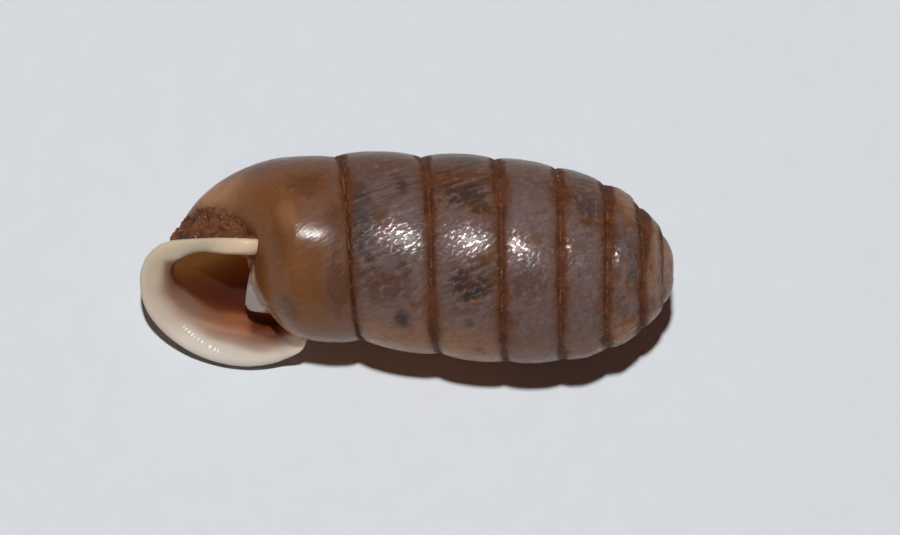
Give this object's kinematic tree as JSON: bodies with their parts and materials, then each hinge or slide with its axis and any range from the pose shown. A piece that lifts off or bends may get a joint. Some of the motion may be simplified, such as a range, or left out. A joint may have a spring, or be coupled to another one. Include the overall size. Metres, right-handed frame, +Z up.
{
  "type": "land snail shell",
  "caption": "Slender chrysalis-shaped snail shell coiled to the right, with a rounded tip and a wide turned-back pale lip around a mouth that has one low plate-like tooth.",
  "frame": {"origin": "middle of the bounding box on the table plane, with the shell at rest on its side", "axes": "+X towards the tip of the spire, +Z up from the table, the mouth towards -X facing up and towards -Y"},
  "size_m": [0.008, 0.0032, 0.0031],
  "materials": {
    "thin_brown_shell": "silky gloss"
  },
  "bodies": {
    "root": {"shell": "thin_brown_shell"}
  },
  "joints": []
}
